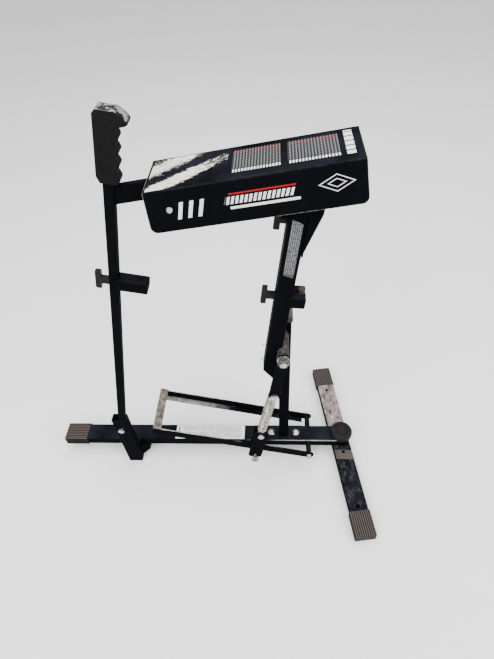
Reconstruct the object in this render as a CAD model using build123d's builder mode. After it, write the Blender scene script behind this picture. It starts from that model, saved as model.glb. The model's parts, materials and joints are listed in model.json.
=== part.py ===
"""Pedal-driven baseball pitching machine: base, handle with hood, throwing arm, pedal and spring.

Frame: +X runs along the main bar towards the batter, +Y to the far side of the bar, +Z up.
The origin is on the floor, under the middle of the machine's bounding box. Millimetres.
"""
from build123d import *
from math import atan2, cos, degrees, radians, sin
import os

os.makedirs("parts", exist_ok=True)

# ---------------------------------------------------------------- driving dimensions
# main bar and stabiliser share one rectangular tube
tube_width = 56.0
tube_height = 29.0
tube_wall = 2.0
tube_corner = 2.5
cap_wall = 3.0
cap_length = 72.0
cap_corner = 5.0
cap_edge = 2.4
rib_count = 9
rib_pitch = 6.2
rib_groove = 2.6
bar_y = 11.0
bar_rear = -489.0
bar_front = 444.0
bar_bottom = 33.0
bar_nose = 20.0
frame_bolt_radius = 6.0
bar_top = bar_bottom + tube_height

stabiliser_x = 416.0
stabiliser_skew = 8.3
near_reach = 313.0
far_reach = 291.0
stabiliser_height = 26.0
round_hole_reach = 196.0
patch_hole_reach = 48.0
square_hole_reach = 227.0
plain_hole_radius = 5.0
square_hole_size = 10.0
square_hole_corner = 1.0
pivot_access_radius = 14.0
pivot_access_depth = 10.0
pivot_head_radius = 12.0
pivot_head_height = 5.0
pivot_washer_radius = 24.0
pivot_bolt_rise = 18.0
pivot_knob_bore = 17.0
stabiliser_bottom = cap_wall
stabiliser_top = stabiliser_bottom + stabiliser_height

# upright post that carries the throwing arm
post_x = 231.0
post_size = 30.0
post_wall = 2.5
post_corner = 3.0
post_top = 615.0
post_cap_skirt = 15.0
post_cap_corner = 4.0
post_cap_edge = 2.0
base_length = 124.0
base_width = 50.0
base_thickness = 5.0
base_corner = 4.0
base_bolt_spacing = 78.0
base_bolt_tail = 22.0
base_bolt_head_radius = 12.0
base_bolt_head_height = 6.0

# handle bar, its socket and the hood tube lie in the plane of the throwing arm
arm_y = -47.4
handle_x = -286.9
handle_z = 61.5
handle_lean = 12.2
handle_size = 20.0
handle_wall = 1.5
handle_corner = 2.0
handle_start = 106.0
handle_end = 1084.0
grip_start = 966.0
grip_end = 1094.0
grip_depth = 28.0
grip_front = 16.0
grip_back = -19.0
grip_bevel = 12.0
grip_edge = 3.0
grip_hook = 31.0
grip_hook_drop = 22.0
finger_count = 4
finger_pitch = 24.3
finger_ridge = 21.0
finger_hollow = 15.5
socket_left = -278.5
socket_right = -234.5
socket_half = 13.0
socket_near = arm_y - socket_half
socket_far = arm_y + socket_half
socket_wall = 2.5
socket_corner = 3.0
socket_top = 240.0
socket_bolt_drop = 48.0
socket_bolt_radius = 5.0
socket_bolt_tail = 9.0
socket_nut_height = 8.0
foot_tail = 18.0
foot_corner = 3.0
foot_wall = 4.0
foot_roof = 3.0
foot_pocket_start = 4.5
foot_pocket_length = 48.0
foot_tongue_length = 34.0

# hood over the path of the ball
hood_x = -12.9
hood_z = 1011.2
hood_pitch = 8.3
hood_length = 366.0
hood_width = 114.0
hood_height = 80.0
hood_wall = 2.0
hood_front_flare = 3.0
hood_rear_flare = 10.0
hood_corner = 12.0
hood_edge = 2.5
mouth_overrun = 30.0
rivet_across = 36.0
rivet_down = 38.0
rivet_radius = 3.0
rivet_head_radius = 6.0
rivet_head_height = 2.0
rivet_head_taper = 35.0
rivet_tail = 1.0
bracket_plate = 3.0
bracket_start = 5.0
bracket_length = 58.0
bracket_height = 52.0
top_tube_height = 36.0
top_tube_depth = 12.0
top_tube_inside = 14.0
top_tube_reach = 96.0

# throwing arm: heights along it are measured from the hub axis
hub_x = 225.2
hub_z = 561.5
arm_lean = 7.2
arm_size = 36.0
arm_wall = 2.0
arm_corner = 1.2
arm_foot_left = -76.0
arm_foot_right = -117.0
arm_long_edge = 500.0
arm_offset = 22.2
arm_top = 415.0
axle_radius = 8.0
axle_nut_flats = 24.0
axle_nut_height = 12.5
axle_washer_radius = 15.0
near_washer = 2.0
far_washer = 2.5
axle_near_tail = 17.0
axle_far_tail = 18.0
hub_spacer_radius = 11.0
sleeve_radius = 14.0
sleeve_bore = 10.0
sleeve_flange = 3.0
sleeve_flange_radius = 16.5
bushing_length = 30.0
sleeve_near = -84.0
sleeve_far = -11.0
crank_length = 148.0
crank_width = 29.0
crank_thickness = 5.0
crank_across = -3.8
crank_tilt = 1.5
crank_play = 0.3
crank_bolt_radius = 6.0
crank_bolt_tail = 13.0
crank_bolt_flats = 19.0
crank_bolt_head = 7.0
hook_heights = (-5.0, -55.0)
hook_stem = 7.0
hook_reach = 11.0
hook_rise = 5.0
hook_bend = 3.0
hook_wire_radius = 1.2

# moulded tee knobs and the blocks they clamp
stud_radius = 4.0
slot_width = 9.0
bumper_slot = 84.0
stop_slot = 48.0
cup_slot = 30.0
stem_radius = 9.5
long_stem = 17.0
short_stem = 12.0
tee_length = 50.0
tee_width = 14.0
tee_depth = 12.0
tee_edge = 3.0
bumper_position = 729.0
bumper_reach = 72.0
bumper_depth = 30.0
bumper_thickness = 26.0
bumper_start = 0.5
bumper_corner = 3.0
bumper_hole_depth = 40.0
bumper_stud_reach = 44.0
stop_position = 163.0
stop_reach = 25.0
stop_wrap = 8.0
stop_height = 27.0
stop_cheek = 4.0
stop_corner = 2.5
stop_hole_depth = 10.0
stop_stud_bite = 9.0
stop_bolt_across = 15.0
stop_bolt_radius = 4.0
stop_bolt_tail = 24.0
stop_bolt_flats = 14.0
stop_bolt_head = 11.0
cup_knob_position = 356.0
cup_position = 424.0
cup_radius = 28.0
cup_rim = 14.0
cup_floor = 3.0
ball_seat_radius = 38.5
cup_sheet = 3.0
cup_stud_bite = 6.0
cheek_foot = 283.0
cheek_shelf = 385.0
cheek_step = 395.0
cheek_top = 440.0
cheek_left = -30.0
cheek_right = 21.0
cheek_left_foot = 380.0
web_bottom = 286.0
web_top = 399.0
back_bottom = 398.0
back_top = 442.0
shelf_left = -1.0

# foot pedal
pedal_x = 310.0
pedal_z = 51.5
pedal_slope = 16.2
pedal_half_width = 72.0
pedal_height = 30.0
pedal_flange = 18.0
pedal_sheet = 3.0
flange_setback = 14.0
tread_position = 482.0
tread_width = 24.0
tread_rise = 13.0
tread_sheet = 4.0
pedal_axle_radius = 5.0
pedal_axle_tail = 6.0
pedal_bush_radius = 8.0
bush_flange_radius = 10.0
bush_flange = 2.0
bush_lip = 1.0
pedal_nut_gap = 1.5
pedal_nut_flats = 16.0
pedal_nut_height = 6.0
pedal_nut_dome = 7.0

# extension spring and its clevis
spring_y = -75.0
spring_radius = 13.5
spring_wire = 3.6
spring_start = 16.0
spring_split = 108.0
spring_end = 190.0
clevis_bolt_position = 207.3
clevis_start = 193.0
clevis_end = 334.0
clevis_width = 40.0
clevis_half = 13.2
clevis_sheet = 3.0
clevis_corner = 12.0
clevis_web_margin = 20.0
clevis_web_inset = 1.0
clevis_bolt_radius = 5.0
clevis_bolt_head = 6.0
clevis_pin_radius = 4.0
top_hook_radius = 10.5
bottom_hook_radius = 9.0
hook_half = 3.0
hook_neck = 7.0
hook_neck_start = 10.0
pin_x = 142.4
pin_z = 100.6
pin_ball_y = -101.0
pin_ball_radius = 8.0
pin_inset = 0.2
ring_wire = 1.5
ring_radius = 10.0

m10_flats = 17.0
m10_head = 7.0
fit_gap = 0.05
free_gap = 0.4
through = 200.0


# ---------------------------------------------------------------- planes and profiles
def side_plane(x, y, z, lean):
    """Upright plane seen from the near side: local y points up, tipped by lean towards +X."""
    angle = radians(lean)
    return Plane(origin=(x, y, z), x_dir=(cos(angle), 0, -sin(angle)), z_dir=(0, -1, 0))


def on_plane(plane, across, up, out=0.0):
    """World position of a point given in a plane's own directions."""
    return plane.from_local_coords(Vector(across, up, out))


def cross_plane(plane, across, up):
    """Plane square to a side plane's up direction, for sections that run along it."""
    return Plane(origin=on_plane(plane, across, up), x_dir=plane.x_dir, z_dir=plane.y_dir)


def face_plane(plane, across, up):
    """Plane square to a side plane's across direction, for studs that run along it."""
    return Plane(origin=on_plane(plane, across, up), x_dir=plane.y_dir, z_dir=plane.x_dir)


def tube_profile(plane, width, depth, wall, corner):
    """Rectangular tube section."""
    with BuildSketch(plane, mode=Mode.PRIVATE) as profile:
        RectangleRounded(width, depth, corner)
        RectangleRounded(width - 2 * wall, depth - 2 * wall, max(corner - wall, 0.3), mode=Mode.SUBTRACT)
    return profile.sketch


def ring_profile(plane, outer, inner):
    """Round washer or tube section."""
    with BuildSketch(plane, mode=Mode.PRIVATE) as profile:
        Circle(outer)
        Circle(inner, mode=Mode.SUBTRACT)
    return profile.sketch


def disc_profile(plane, radius):
    """Round bar section."""
    with BuildSketch(plane, mode=Mode.PRIVATE) as profile:
        Circle(radius)
    return profile.sketch


def hex_profile(plane, across_flats):
    """Hexagon section of a bolt head or nut."""
    with BuildSketch(plane, mode=Mode.PRIVATE) as profile:
        RegularPolygon(across_flats / 2, 6, major_radius=False)
    return profile.sketch


def slot_profile(plane, length, width):
    """Long hole whose length lies along the plane's x direction."""
    with BuildSketch(plane, mode=Mode.PRIVATE) as profile:
        SlotOverall(length, width)
    return profile.sketch


def polygon_profile(plane, *points):
    """Closed outline with straight sides."""
    with BuildSketch(plane, mode=Mode.PRIVATE) as profile:
        with BuildLine():
            Polyline(*points, close=True)
        make_face()
    return profile.sketch


arm_plane = side_plane(hub_x, arm_y, hub_z, arm_lean)
handle_plane = side_plane(handle_x, arm_y, handle_z, handle_lean)
hood_plane = side_plane(hood_x, arm_y, hood_z, -hood_pitch)
pedal_plane = side_plane(pedal_x, bar_y, pedal_z, pedal_slope)
crank_point = on_plane(arm_plane, crank_across, -crank_length)
spring_lean = degrees(atan2(crank_point.X - pin_x, crank_point.Z - pin_z))
spring_plane = side_plane(crank_point.X, spring_y, crank_point.Z, spring_lean)


def y_plane(x, y, z):
    """Plane square to Y, for axles and bolts across the machine."""
    return side_plane(x, y, z, 0)


# ---------------------------------------------------------------- base
with BuildPart() as main_bar:
    with BuildSketch(Plane.XY.offset(bar_bottom)) as bar_outline:
        with Locations(((bar_rear + bar_front) / 2, bar_y)):
            Rectangle(bar_front - bar_rear, tube_width)
        fillet(bar_outline.vertices().group_by(Axis.X)[-1], bar_nose)
    extrude(amount=tube_height)
    fillet(main_bar.edges().filter_by(Axis.X), tube_corner)
    with BuildSketch(Plane.XY.offset(bar_bottom + tube_wall)) as bar_hollow:
        with Locations(((bar_rear + bar_front - tube_wall) / 2, bar_y)):
            Rectangle(bar_front - bar_rear - tube_wall, tube_width - 2 * tube_wall)
        fillet(bar_hollow.vertices().group_by(Axis.X)[-1], bar_nose - tube_wall)
    extrude(amount=tube_height - 2 * tube_wall, mode=Mode.SUBTRACT)
    with Locations((stabiliser_x, bar_y, bar_top)):
        Hole(frame_bolt_radius + fit_gap, depth=tube_height)
    with Locations(*[(post_x + side * base_bolt_spacing / 2, bar_y, bar_top) for side in (-1, 1)]):
        Hole(frame_bolt_radius + fit_gap, depth=2 * tube_wall)
    extrude(disc_profile(y_plane(pedal_x, bar_y, pedal_z), pedal_axle_radius + fit_gap),
            amount=tube_width, both=True, mode=Mode.SUBTRACT)


def ribbed_cap(plane, height):
    """Push-on rubber cap: its open end faces the plane's origin, ribs run along its length."""
    with BuildPart() as cap:
        with BuildSketch(plane.offset(-cap_length)):
            RectangleRounded(tube_width + 2 * cap_wall, height + 2 * cap_wall, cap_corner)
        extrude(amount=cap_length + cap_wall)
        fillet(cap.edges().group_by(Axis(plane.origin, plane.z_dir))[-1], cap_edge)
        with BuildSketch(plane.offset(-cap_length)):
            RectangleRounded(tube_width, height, tube_corner)
        extrude(amount=cap_length, mode=Mode.SUBTRACT)
        with BuildSketch(plane.offset(-cap_length)):
            with GridLocations(rib_pitch, height + 2 * cap_wall, rib_count, 2):
                Rectangle(rib_groove, rib_groove)
        extrude(amount=cap_length + cap_wall, mode=Mode.SUBTRACT)
    return cap


rear_cap = ribbed_cap(Plane(origin=(bar_rear, bar_y, bar_bottom + tube_height / 2),
                            x_dir=(0, -1, 0), z_dir=(-1, 0, 0)), tube_height)

foot_right = socket_right + foot_tail
with BuildPart() as rear_foot:
    foot_corners = [(socket_left, socket_far), (socket_right, socket_far),
                    (foot_right, bar_y - tube_width / 2), (foot_right, bar_y + tube_width / 2),
                    (socket_left, bar_y + tube_width / 2)]
    extrude(polygon_profile(Plane.XY, *foot_corners), amount=bar_bottom)
    fillet(rear_foot.edges().filter_by(Axis.Z), foot_corner)
    with BuildSketch():
        with Locations((socket_left + foot_pocket_start + foot_pocket_length / 2, bar_y)):
            Rectangle(foot_pocket_length, tube_width - 2 * foot_wall)
    extrude(amount=bar_bottom - foot_roof, mode=Mode.SUBTRACT)
    with BuildSketch(Plane.XY.offset(bar_bottom)):
        with Locations(((socket_left + socket_right) / 2, (socket_far + bar_y - tube_width / 2) / 2)):
            Rectangle(foot_tongue_length, bar_y - tube_width / 2 - socket_far)
    extrude(amount=tube_height)

socket_bolt_up = (socket_top - socket_bolt_drop - handle_z) / cos(radians(handle_lean))
with BuildPart() as handle_socket:
    with BuildSketch():
        with Locations(((socket_left + socket_right) / 2, (socket_near + socket_far) / 2)):
            RectangleRounded(socket_right - socket_left, socket_far - socket_near, socket_corner)
            Rectangle(socket_right - socket_left - 2 * socket_wall,
                      socket_far - socket_near - 2 * socket_wall, mode=Mode.SUBTRACT)
    extrude(amount=socket_top)
    socket_bolt_point = on_plane(handle_plane, 0, socket_bolt_up)
    extrude(disc_profile(y_plane(socket_bolt_point.X, arm_y, socket_bolt_point.Z),
                         socket_bolt_radius + fit_gap), amount=through, both=True, mode=Mode.SUBTRACT)

with BuildPart() as socket_bolt:
    extrude(disc_profile(y_plane(socket_bolt_point.X, socket_far + socket_bolt_tail, socket_bolt_point.Z),
                         socket_bolt_radius), amount=socket_far + socket_bolt_tail - socket_near)
    extrude(hex_profile(y_plane(socket_bolt_point.X, socket_near, socket_bolt_point.Z), m10_flats),
            amount=m10_head)
    extrude(hex_profile(y_plane(socket_bolt_point.X, socket_far + socket_nut_height, socket_bolt_point.Z),
                        m10_flats), amount=socket_nut_height)

# ---------------------------------------------------------------- handle
with BuildPart() as handle_bar:
    extrude(tube_profile(cross_plane(handle_plane, 0, handle_start), handle_size, handle_size,
                         handle_wall, handle_corner), amount=handle_end - handle_start)
    extrude(disc_profile(y_plane(socket_bolt_point.X, arm_y, socket_bolt_point.Z),
                         socket_bolt_radius + fit_gap), amount=through, both=True, mode=Mode.SUBTRACT)
    extrude(slot_profile(face_plane(handle_plane, 0, bumper_position), bumper_slot, slot_width),
            amount=through, both=True, mode=Mode.SUBTRACT)

finger_first = grip_start + grip_bevel
with BuildPart() as handle_grip:
    with BuildSketch(handle_plane):
        with BuildLine():
            front = [(grip_front, grip_start)]
            for finger in range(finger_count):
                front.append((finger_ridge, finger_first + finger * finger_pitch))
                front.append((finger_hollow, finger_first + (finger + 0.5) * finger_pitch))
            front.append((grip_hook, grip_end - grip_hook_drop))
            front.append((-grip_back, grip_end))
            Spline(*front)
            Polyline(front[-1], (grip_back + 5, grip_end - 1), (grip_back, grip_end - 8),
                     (grip_back, grip_start + grip_bevel), (grip_back + 6, grip_start), front[0])
        make_face()
    extrude(amount=grip_depth / 2, both=True)
    grip_edges = handle_grip.edges().filter_by(lambda edge: edge.geom_type == GeomType.BSPLINE)
    fillet(grip_edges, grip_edge)
    with BuildSketch(cross_plane(handle_plane, 0, grip_start)):
        Rectangle(handle_size, handle_size)
    extrude(amount=handle_end - grip_start, mode=Mode.SUBTRACT)

# ---------------------------------------------------------------- hood and its tube
top_tube_drop = hood_wall + bracket_plate + top_tube_height / 2
with BuildPart() as top_tube:
    extrude(tube_profile(face_plane(hood_plane, top_tube_inside, -top_tube_drop),
                         top_tube_height, top_tube_depth, handle_wall, handle_corner),
            amount=-top_tube_reach - top_tube_inside)
    bar_face = Plane(origin=on_plane(handle_plane, handle_size / 2, handle_end), z_dir=handle_plane.x_dir)
    split(bisect_by=bar_face, keep=Keep.TOP)

with BuildPart() as hood_shell:
    hood_corners = [(0, 0), (hood_length, 0), (hood_length + hood_front_flare, -hood_height),
                    (-hood_rear_flare, -hood_height)]
    with BuildSketch(hood_plane) as hood_side:
        with BuildLine():
            Polyline(*hood_corners, close=True)
        make_face()
        fillet(hood_side.vertices().group_by(Axis.Y)[0], hood_corner)
    extrude(amount=hood_width / 2, both=True)
    top_edges = hood_shell.edges().filter_by(lambda edge: abs(edge.length - hood_length) < 1)
    fillet(top_edges, hood_edge)
    with BuildSketch(hood_plane):
        with Locations((hood_length / 2, -hood_height / 2 - hood_wall)):
            Rectangle(hood_length + 2 * mouth_overrun, hood_height)
    extrude(amount=hood_width / 2 - hood_wall, both=True, mode=Mode.SUBTRACT)
    with BuildSketch(hood_plane):
        with Locations((rivet_across, -rivet_down)):
            Circle(rivet_radius + fit_gap)
    extrude(amount=hood_width, both=True, mode=Mode.SUBTRACT)

with BuildPart() as hood_bracket:
    bracket_half = hood_width / 2 - hood_wall
    with BuildSketch(face_plane(hood_plane, bracket_start, -hood_wall - bracket_height / 2)):
        Rectangle(bracket_height, 2 * bracket_half)
        with Locations((-bracket_plate, 0)):
            Rectangle(bracket_height, 2 * (bracket_half - bracket_plate), mode=Mode.SUBTRACT)
    extrude(amount=bracket_length)
    with BuildSketch(hood_plane):
        with Locations((rivet_across, -rivet_down)):
            Circle(rivet_radius + fit_gap)
    extrude(amount=hood_width, both=True, mode=Mode.SUBTRACT)

with BuildPart() as hood_rivets:
    for side in (-1, 1):
        rivet_point = on_plane(hood_plane, rivet_across, -rivet_down, side * hood_width / 2)
        rivet_plane = Plane(origin=rivet_point, x_dir=(1, 0, 0), z_dir=(0, -side, 0))
        with BuildSketch(rivet_plane):
            Circle(rivet_head_radius)
        extrude(amount=rivet_head_height, taper=rivet_head_taper)
        with BuildSketch(rivet_plane):
            Circle(rivet_radius)
        extrude(amount=-hood_wall - bracket_plate - rivet_tail)

# ---------------------------------------------------------------- post and hub axle
with BuildPart() as post_base:
    with BuildSketch(Plane.XY.offset(bar_top)):
        with Locations((post_x, bar_y)):
            RectangleRounded(base_length, base_width, base_corner)
            with GridLocations(base_bolt_spacing, 0, 2, 1):
                Circle(frame_bolt_radius + fit_gap, mode=Mode.SUBTRACT)
    extrude(amount=base_thickness)

with BuildPart() as base_bolts:
    for side in (-1, 1):
        bolt_x = post_x + side * base_bolt_spacing / 2
        dome_radius = (base_bolt_head_radius ** 2 + base_bolt_head_height ** 2) / (2 * base_bolt_head_height)
        with BuildSketch(Plane(origin=(bolt_x, bar_y, bar_top + base_thickness), x_dir=(1, 0, 0),
                               z_dir=(0, -1, 0))):
            with BuildLine():
                Line((0, -base_bolt_tail), (0, base_bolt_head_height))
                RadiusArc((0, base_bolt_head_height), (base_bolt_head_radius, 0), dome_radius)
                Polyline((base_bolt_head_radius, 0), (frame_bolt_radius, 0),
                         (frame_bolt_radius, -base_bolt_tail), (0, -base_bolt_tail))
            make_face()
        revolve(axis=Axis((bolt_x, bar_y, 0), (0, 0, 1)))

with BuildPart() as post:
    with BuildSketch(Plane.XY.offset(bar_top + base_thickness)):
        with Locations((post_x, bar_y)):
            RectangleRounded(post_size, post_size, post_corner)
            Rectangle(post_size - 2 * post_wall, post_size - 2 * post_wall, mode=Mode.SUBTRACT)
    extrude(amount=post_top - bar_top - base_thickness)
    extrude(disc_profile(y_plane(hub_x, bar_y, hub_z), axle_radius + fit_gap), amount=through, both=True,
            mode=Mode.SUBTRACT)

with BuildPart() as post_cap:
    with BuildSketch(Plane.XY.offset(post_top - post_cap_skirt)):
        with Locations((post_x, bar_y)):
            RectangleRounded(post_size + 2 * cap_wall, post_size + 2 * cap_wall, post_cap_corner)
    extrude(amount=post_cap_skirt + cap_wall)
    fillet(post_cap.faces().sort_by(Axis.Z)[-1].edges(), post_cap_edge)
    with BuildSketch(Plane.XY.offset(post_top - post_cap_skirt)):
        with Locations((post_x, bar_y)):
            RectangleRounded(post_size, post_size, post_corner)
    extrude(amount=post_cap_skirt, mode=Mode.SUBTRACT)

post_near = bar_y - post_size / 2
post_far = bar_y + post_size / 2
crank_near = sleeve_near - sleeve_flange - crank_thickness
axle_near = crank_near - axle_near_tail
axle_far = post_far + axle_far_tail
with BuildPart() as hub_axle:
    extrude(disc_profile(y_plane(hub_x, axle_far, hub_z), axle_radius), amount=axle_far - axle_near)

with BuildPart() as axle_nuts:
    extrude(hex_profile(y_plane(hub_x, crank_near - near_washer, hub_z), axle_nut_flats),
            amount=axle_nut_height)
    extrude(hex_profile(y_plane(hub_x, post_far + far_washer + axle_nut_height, hub_z), axle_nut_flats),
            amount=axle_nut_height)
    extrude(disc_profile(y_plane(hub_x, arm_y, hub_z), axle_radius), amount=through, both=True,
            mode=Mode.SUBTRACT)

with BuildPart() as axle_washers:
    extrude(ring_profile(y_plane(hub_x, crank_near - free_gap, hub_z), axle_washer_radius, axle_radius),
            amount=near_washer - free_gap)
    extrude(ring_profile(y_plane(hub_x, post_far + far_washer, hub_z), axle_washer_radius, axle_radius),
            amount=far_washer)

with BuildPart() as hub_spacer:
    extrude(ring_profile(y_plane(hub_x, post_near, hub_z), hub_spacer_radius, axle_radius),
            amount=post_near - sleeve_far - free_gap)

# ---------------------------------------------------------------- throwing arm
with BuildPart() as throwing_arm:
    left_face = -arm_offset - arm_size / 2
    right_face = -arm_offset + arm_size / 2
    extrude(polygon_profile(arm_plane, (left_face, arm_foot_left), (right_face, arm_foot_right),
                            (right_face, arm_top), (left_face, arm_top)), amount=arm_size / 2, both=True)
    extrude(polygon_profile(arm_plane, (left_face + arm_wall, -through), (right_face - arm_wall, -through),
                            (right_face - arm_wall, arm_top), (left_face + arm_wall, arm_top)),
            amount=arm_size / 2 - arm_wall, both=True, mode=Mode.SUBTRACT)
    fillet(throwing_arm.edges().filter_by(Axis((0, 0, 0), arm_plane.y_dir)).filter_by(
        lambda edge: edge.length > arm_long_edge), arm_corner)
    extrude(disc_profile(arm_plane, sleeve_radius), amount=through, both=True, mode=Mode.SUBTRACT)
    for position, length in ((stop_position, stop_slot), (cup_knob_position, cup_slot)):
        extrude(slot_profile(face_plane(arm_plane, -arm_offset, position), length, slot_width),
                amount=through, both=True, mode=Mode.SUBTRACT)

with BuildPart() as hub_sleeve:
    extrude(ring_profile(y_plane(hub_x, sleeve_far, hub_z), sleeve_radius, sleeve_bore),
            amount=sleeve_far - sleeve_near)
    extrude(ring_profile(y_plane(hub_x, sleeve_near, hub_z), sleeve_flange_radius, sleeve_bore),
            amount=sleeve_flange)

with BuildPart() as hub_bushings:
    for start in (sleeve_far, sleeve_near - sleeve_flange + bushing_length):
        extrude(ring_profile(y_plane(hub_x, start, hub_z), sleeve_bore, axle_radius + fit_gap),
                amount=bushing_length)

with BuildPart() as crank_strap:
    with BuildSketch(side_plane(hub_x, sleeve_near - sleeve_flange, hub_z, arm_lean)):
        with Locations((crank_across / 2, -crank_length / 2)):
            SlotCenterToCenter(crank_length, crank_width, rotation=90 - crank_tilt)
        Circle(axle_radius + crank_play, mode=Mode.SUBTRACT)
        with Locations((crank_across, -crank_length)):
            Circle(crank_bolt_radius + fit_gap, mode=Mode.SUBTRACT)
    extrude(amount=crank_thickness)

with BuildPart() as crank_bolt:
    extrude(disc_profile(y_plane(crank_point.X, spring_y + crank_bolt_tail, crank_point.Z),
                         crank_bolt_radius), amount=spring_y + crank_bolt_tail - crank_near)
    for start in (crank_near, spring_y + crank_bolt_tail):
        extrude(hex_profile(y_plane(crank_point.X, start, crank_point.Z), crank_bolt_flats),
                amount=crank_bolt_head)

with BuildPart() as arm_hooks:
    for height in hook_heights:
        hook_root = on_plane(arm_plane, left_face, height)
        hook_mid = on_plane(arm_plane, left_face - hook_stem, height)
        hook_tip = on_plane(arm_plane, left_face - hook_reach, height + hook_rise)
        with BuildLine() as hook_path:
            FilletPolyline(hook_root, hook_mid, hook_tip, radius=hook_bend)
        with BuildSketch(Plane(origin=hook_path.line @ 0, z_dir=hook_path.line % 0)):
            Circle(hook_wire_radius)
        sweep(path=hook_path.line)


# ---------------------------------------------------------------- tee knobs and clamped blocks
def tee_knob(plane, face, position, stem_length):
    """Moulded tee handle on the left of a side plane's bar, with its bar upright."""
    start = face_plane(plane, face - free_gap, position)
    with BuildPart() as knob:
        with BuildSketch(start):
            Circle(stem_radius)
        extrude(amount=-stem_length)
        with BuildSketch(start.offset(-stem_length)):
            SlotOverall(tee_length, tee_width)
        extrude(amount=-tee_depth)
        fillet(knob.edges().group_by(Axis(start.origin, start.z_dir))[0], tee_edge)
        with BuildSketch(start):
            Circle(stud_radius)
        extrude(amount=-stem_length, mode=Mode.SUBTRACT)
    return knob


def knob_stud(plane, face, position, stem_length, reach):
    """Threaded stud from inside a tee knob, across the bar and into the clamped block."""
    start = face_plane(plane, face - free_gap - stem_length, position)
    with BuildPart() as stud:
        with BuildSketch(start):
            Circle(stud_radius)
        extrude(amount=stem_length + free_gap + reach)
    return stud


bumper_left = -handle_size / 2
with BuildPart() as cocking_bumper:
    with BuildSketch(handle_plane):
        with Locations(((bumper_reach + bumper_start) / 2, bumper_position)):
            RectangleRounded(bumper_reach - bumper_start, bumper_thickness, bumper_corner)
    extrude(amount=bumper_depth / 2, both=True)
    with BuildSketch(handle_plane):
        with Locations((0, bumper_position)):
            Rectangle(handle_size + 2 * free_gap, 2 * bumper_thickness)
    extrude(amount=handle_size / 2 + free_gap, both=True, mode=Mode.SUBTRACT)
    extrude(disc_profile(face_plane(handle_plane, 0, bumper_position), stud_radius + fit_gap),
            amount=bumper_hole_depth, mode=Mode.SUBTRACT)

bumper_knob = tee_knob(handle_plane, bumper_left, bumper_position, long_stem)
bumper_stud = knob_stud(handle_plane, bumper_left, bumper_position, long_stem, bumper_stud_reach)

with BuildPart() as stop_block:
    with BuildSketch(arm_plane):
        with Locations(((right_face + stop_reach - stop_wrap) / 2, stop_position)):
            RectangleRounded(stop_reach - right_face + stop_wrap, stop_height, stop_corner)
    extrude(amount=arm_size / 2 + stop_cheek, both=True)
    with BuildSketch(arm_plane):
        with Locations((-arm_offset, stop_position)):
            Rectangle(arm_size + 2 * free_gap, 2 * stop_height)
    extrude(amount=arm_size / 2 + free_gap, both=True, mode=Mode.SUBTRACT)
    extrude(disc_profile(face_plane(arm_plane, right_face, stop_position), stud_radius + fit_gap),
            amount=stop_hole_depth, mode=Mode.SUBTRACT)
    extrude(disc_profile(cross_plane(arm_plane, stop_bolt_across, stop_position - stop_height),
                         stop_bolt_radius + fit_gap), amount=2 * stop_height, mode=Mode.SUBTRACT)

with BuildPart() as stop_bolt:
    extrude(disc_profile(cross_plane(arm_plane, stop_bolt_across, stop_position - stop_bolt_tail),
                         stop_bolt_radius), amount=stop_bolt_tail + stop_height / 2)
    extrude(hex_profile(cross_plane(arm_plane, stop_bolt_across, stop_position + stop_height / 2),
                        stop_bolt_flats), amount=stop_bolt_head)

stop_knob = tee_knob(arm_plane, left_face, stop_position, long_stem)
stop_stud = knob_stud(arm_plane, left_face, stop_position, long_stem, arm_size + stop_stud_bite)

cup_base = right_face + free_gap + cup_sheet
with BuildPart() as cup_bracket:
    cheek_points = [(right_face, cheek_foot), (cheek_right, cheek_shelf), (cheek_right, cheek_step),
                    (cup_base, cheek_step), (cup_base, cheek_top), (cheek_left, cheek_top),
                    (cheek_left, cheek_left_foot), (right_face, cheek_left_foot)]
    extrude(polygon_profile(arm_plane.offset(arm_size / 2 + free_gap), *cheek_points), amount=cup_sheet)
    extrude(polygon_profile(arm_plane.offset(-arm_size / 2 - free_gap), *cheek_points), amount=-cup_sheet)
    web_depth = arm_size / 2 + free_gap + cup_sheet
    web_across = right_face + free_gap + cup_sheet / 2
    with BuildSketch(arm_plane):
        with Locations((web_across, (web_bottom + web_top) / 2)):
            Rectangle(cup_sheet, web_top - web_bottom)
        with Locations((web_across, (back_bottom + back_top) / 2)):
            Rectangle(cup_sheet, back_top - back_bottom)
        with Locations(((shelf_left + cheek_right) / 2, cheek_step - cup_sheet / 2)):
            Rectangle(cheek_right - shelf_left, cup_sheet)
    extrude(amount=web_depth, both=True)
    extrude(disc_profile(face_plane(arm_plane, right_face, cup_knob_position), stud_radius + fit_gap),
            amount=through, mode=Mode.SUBTRACT)

with BuildPart() as ball_cup:
    with BuildSketch(face_plane(arm_plane, cup_base, cup_position)):
        Circle(cup_radius)
    extrude(amount=cup_rim)
    seat_center = on_plane(arm_plane, cup_base + cup_floor + ball_seat_radius, cup_position)
    with Locations(seat_center):
        Sphere(ball_seat_radius, mode=Mode.SUBTRACT)

cup_knob = tee_knob(arm_plane, left_face, cup_knob_position, short_stem)
cup_stud = knob_stud(arm_plane, left_face, cup_knob_position, short_stem, arm_size + free_gap + cup_stud_bite)


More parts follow.
